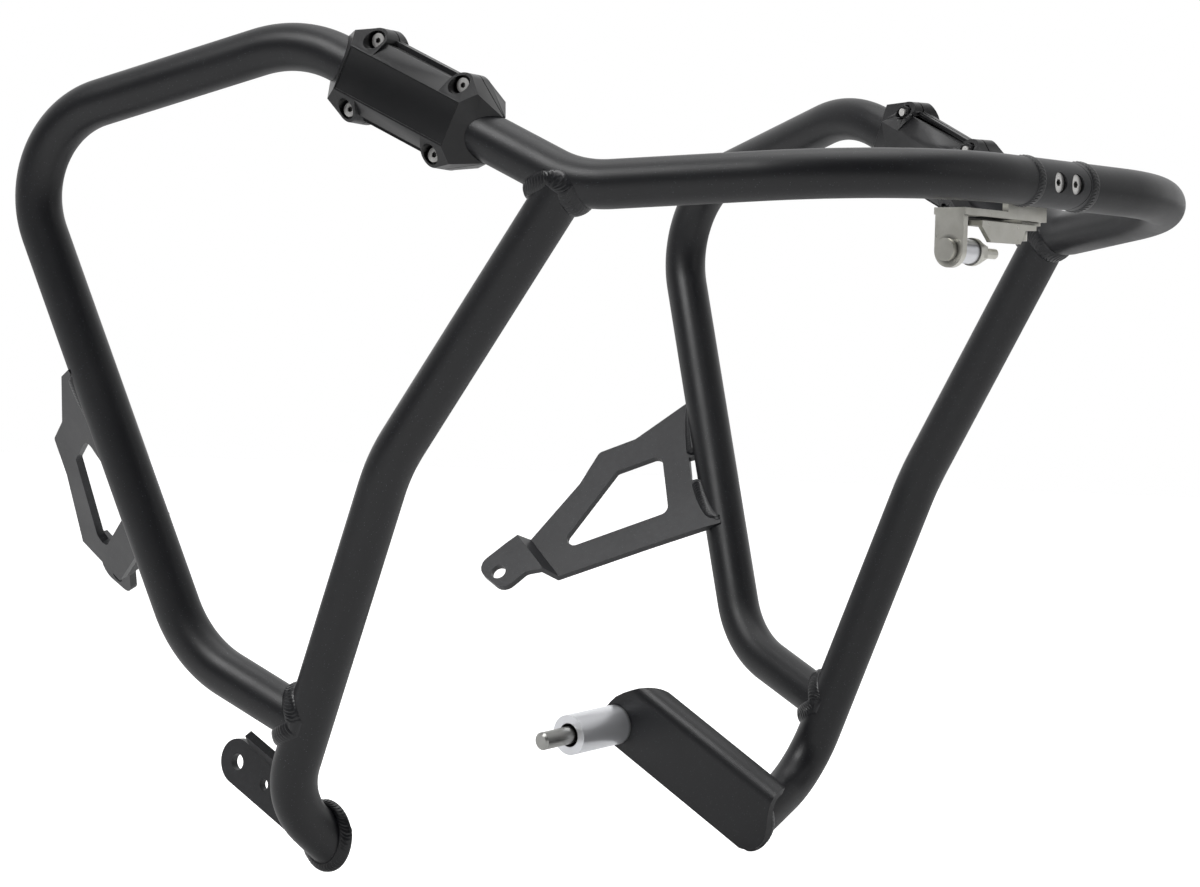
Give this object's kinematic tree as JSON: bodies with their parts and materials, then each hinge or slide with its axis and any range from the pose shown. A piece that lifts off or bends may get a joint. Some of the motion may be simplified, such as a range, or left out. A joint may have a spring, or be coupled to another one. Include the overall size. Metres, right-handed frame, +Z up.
{
  "type": "bent tube crash bars with clamped pads",
  "caption": "Pair of black bent-tube engine guards for a motorcycle, joined at the front, with welded mounts and moulded crash pads",
  "frame": {"origin": "middle of the bolt hole in the right lower plate, the mount that carries the part", "axes": "+X to the bike's left, +Y to the bike's rear, +Z up"},
  "size_m": [0.637, 0.6155, 0.5017],
  "materials": {
    "powder_coat": "satin fine-texture black powder coat",
    "pad_plastic": "moulded black plastic, semi-matt",
    "bright_screws": "bright plated steel",
    "bolt_steel": "plain turned steel",
    "turned_aluminium": "turned aluminium",
    "zinc_plate": "zinc-plated steel, slightly yellow"
  },
  "bodies": {
    "root": {"main_tube_right": "powder_coat", "main_tube_left": "powder_coat", "strut_tube_right": "powder_coat", "strut_tube_left": "powder_coat", "splice_half_front": "powder_coat", "splice_half_rear": "powder_coat", "splice_screws": "bright_screws", "splice_weld_right": "powder_coat", "splice_weld_left": "powder_coat", "top_weld_right": "powder_coat", "top_weld_left": "powder_coat", "low_weld_right": "powder_coat", "low_weld_left": "powder_coat", "side_bracket_right": "powder_coat", "side_bracket_left": "powder_coat", "bracket_weld_right": "powder_coat", "bracket_weld_left": "powder_coat", "lower_plate_right": "powder_coat", "plate_weld_right": "powder_coat", "lower_arm_left": "powder_coat", "arm_weld_left": "powder_coat", "spacer_left": "turned_aluminium", "engine_bolt_left": "bolt_steel", "pad_outer_right": "pad_plastic", "pad_inner_right": "pad_plastic", "pad_screws_right": "bright_screws", "pad_nuts_right": "pad_plastic", "pad_outer_left": "pad_plastic", "pad_inner_left": "pad_plastic", "pad_screws_left": "bright_screws", "pad_nuts_left": "pad_plastic", "hanger_plate": "zinc_plate", "hanger_arm": "zinc_plate", "hanger_spacer": "turned_aluminium", "hanger_bolt": "zinc_plate", "hanger_nut": "zinc_plate", "hanger_clip": "zinc_plate"}
  },
  "joints": []
}
